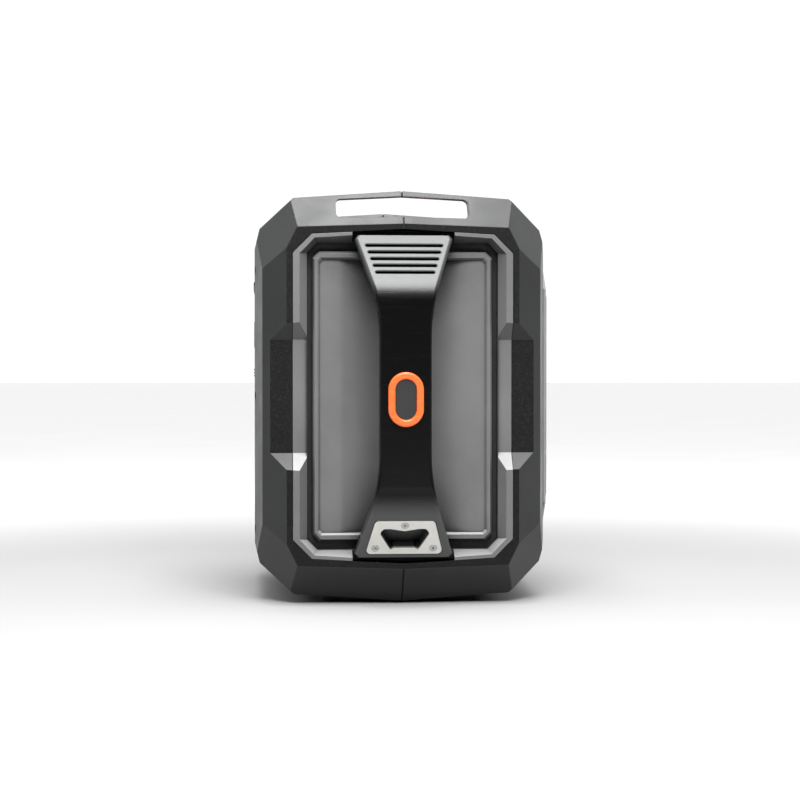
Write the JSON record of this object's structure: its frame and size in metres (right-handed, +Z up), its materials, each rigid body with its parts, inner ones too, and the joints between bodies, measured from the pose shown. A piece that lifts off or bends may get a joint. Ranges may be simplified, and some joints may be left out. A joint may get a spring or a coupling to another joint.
{
  "type": "jump starter pack",
  "caption": "Rugged upright jump starter pack with a built-in loudspeaker, faceted two-part housing, recessed end trays with bowed grab bars, and a bottle opener.",
  "frame": {"origin": "on the floor, under the middle of the pack", "axes": "+Z up; -Y towards the grille; -X towards the end that carries the bottle opener"},
  "size_m": [0.388, 0.282, 0.385],
  "materials": {
    "shell_plastic": "moulded charcoal plastic with a fine grain",
    "gasket_rubber": "matt black",
    "steel_fasteners": "zinc plated",
    "tray_plastic": "satin mid grey",
    "bar_plastic": "glossy black",
    "orange_plastic": "satin orange",
    "insert_plastic": "dark grey",
    "opener_steel": "brushed stainless",
    "foot_rubber": "matt black",
    "bezel_plastic": "satin silver grey",
    "grille_metal": "black powder coat, perforated",
    "baffle_plastic": "black",
    "basket_metal": "black",
    "magnet_metal": "dark",
    "cone_paper": "black fibre",
    "surround_rubber": "black",
    "spider_cloth": "resin dipped cloth",
    "coil_copper": "enamelled winding",
    "horn_plastic": "black",
    "dome_metal": "satin",
    "deck_plastic": "black with a fine grain",
    "door_plastic": "moulded charcoal",
    "button_plastic": "grey, rubbery",
    "gauge_lens": "dark translucent",
    "board_laminate": "green solder mask",
    "socket_metal": "nickel plated",
    "jump_plastic": "orange",
    "tray_steel": "black",
    "case_plastic": "dark blue",
    "cell_metal": "sleeved cells",
    "stud_brass": "bare",
    "lead_rubber": "red",
    "sink_aluminium": "black anodised",
    "relay_plastic": "black"
  },
  "bodies": {
    "pack": {"accessory_socket": "socket_metal", "baffle": "baffle_plastic", "battery_case": "case_plastic", "battery_cells": "cell_metal", "battery_leads": "lead_rubber", "battery_strap": "tray_steel", "battery_terminals": "stud_brass", "battery_tray": "tray_steel", "button_board": "board_laminate", "charge_inlet": "socket_metal", "deck_mat": "foot_rubber", "deck_panel": "deck_plastic", "deck_screws": "steel_fasteners", "door_pin": "steel_fasteners", "door_seal": "gasket_rubber", "driver_screws": "steel_fasteners", "foot_screws": "steel_fasteners", "front_shell": "shell_plastic", "gauge_window": "gauge_lens", "grab_bar_screws": "steel_fasteners", "grille": "grille_metal", "grille_bezel": "bezel_plastic", "heat_sink": "sink_aluminium", "jump_relay": "relay_plastic", "jump_socket": "jump_plastic", "left_badge_insert": "insert_plastic", "left_badge_ring": "orange_plastic", "left_end_panel": "tray_plastic", "left_foot": "foot_rubber", "left_grab_bar": "bar_plastic", "main_board": "board_laminate", "opener_plate": "opener_steel", "opener_screws": "steel_fasteners", "rear_shell": "shell_plastic", "right_badge_insert": "insert_plastic", "right_badge_ring": "orange_plastic", "right_end_panel": "tray_plastic", "right_foot": "foot_rubber", "right_grab_bar": "bar_plastic", "seam_gasket": "gasket_rubber", "service_tub": "baffle_plastic", "shell_screws": "steel_fasteners", "tweeter_dome": "dome_metal", "tweeter_horn": "horn_plastic", "tweeter_magnet": "magnet_metal", "usb_sockets": "socket_metal", "woofer_frame": "basket_metal", "woofer_magnet": "magnet_metal", "woofer_spider": "spider_cloth", "woofer_surround": "surround_rubber"},
    "cone": {"woofer_cone": "cone_paper", "woofer_dust_cap": "cone_paper", "woofer_voice_coil": "coil_copper"},
    "door": {"service_door": "door_plastic"},
    "power_key": {"power_button": "orange_plastic"},
    "source_key": {"source_button": "button_plastic"},
    "volume_down_key": {"volume_down_button": "button_plastic"},
    "play_key": {"play_button": "button_plastic"},
    "volume_up_key": {"volume_up_button": "button_plastic"},
    "boost_key": {"boost_button": "orange_plastic"}
  },
  "joints": [
    {"name": "cone_travel", "type": "slide", "parent": "pack", "child": "cone", "axis": [0, 1, 0], "range_m": [-0.003, 0.003], "stiffness_N_per_m": 3000, "deforming": ["woofer_surround", "woofer_spider"]},
    {"name": "door_hinge", "type": "hinge", "parent": "pack", "child": "door", "pos_m": [0, 0.138, 0.3005], "axis": [1, 0, 0], "range_deg": [0, 105]},
    {"name": "power_press", "type": "slide", "parent": "pack", "child": "power_key", "axis": [0, 0, -1], "range_m": [0, 0.0015], "stiffness_N_per_m": 700},
    {"name": "source_press", "type": "slide", "parent": "pack", "child": "source_key", "axis": [0, 0, -1], "range_m": [0, 0.0015], "stiffness_N_per_m": 700},
    {"name": "volume_down_press", "type": "slide", "parent": "pack", "child": "volume_down_key", "axis": [0, 0, -1], "range_m": [0, 0.0015], "stiffness_N_per_m": 700},
    {"name": "play_press", "type": "slide", "parent": "pack", "child": "play_key", "axis": [0, 0, -1], "range_m": [0, 0.0015], "stiffness_N_per_m": 700},
    {"name": "volume_up_press", "type": "slide", "parent": "pack", "child": "volume_up_key", "axis": [0, 0, -1], "range_m": [0, 0.0015], "stiffness_N_per_m": 700},
    {"name": "boost_press", "type": "slide", "parent": "pack", "child": "boost_key", "axis": [0, 0, -1], "range_m": [0, 0.0015], "stiffness_N_per_m": 700}
  ]
}
